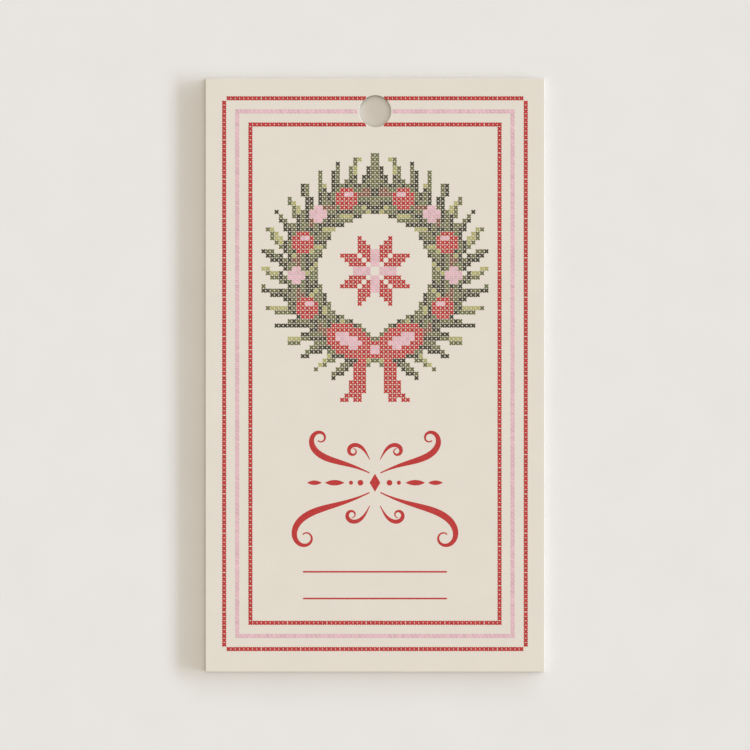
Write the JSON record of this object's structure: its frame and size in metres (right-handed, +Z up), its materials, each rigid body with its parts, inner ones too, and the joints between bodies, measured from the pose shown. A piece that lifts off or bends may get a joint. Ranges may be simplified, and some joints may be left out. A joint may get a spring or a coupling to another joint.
{
  "type": "gift tag",
  "caption": "Flat rectangular paper gift tag of laminated card with a punched string hole and a printed face of stitched borders, wreath and scroll.",
  "frame": {"origin": "middle of the back face, which lies on the table", "axes": "+X along the short side to the right, +Y along the long side towards the string hole, +Z up out of the printed face"},
  "size_m": [0.0508, 0.0888, 0.0008],
  "materials": {
    "back_card": "uncoated, matte, lightly toothed",
    "face_card": "uncoated, matte, lightly toothed",
    "glue": "dried clear glue line",
    "red_ink": "matte printing ink",
    "pink_ink": "matte printing ink",
    "green_ink": "matte printing ink",
    "brown_ink": "matte printing ink"
  },
  "bodies": {
    "root": {"back_ply": "back_card", "glue_film": "glue", "front_ply": "face_card", "outer_border_print": "red_ink", "middle_border_print": "pink_ink", "inner_border_print": "red_ink", "needle_print": "green_ink", "twig_print": "brown_ink", "bauble_red_print": "red_ink", "bauble_pink_print": "pink_ink", "bow_print": "red_ink", "bow_lining_print": "pink_ink", "star_print": "red_ink", "star_cross_print": "pink_ink", "scroll_print": "red_ink", "writing_rule_print": "red_ink"}
  },
  "joints": []
}
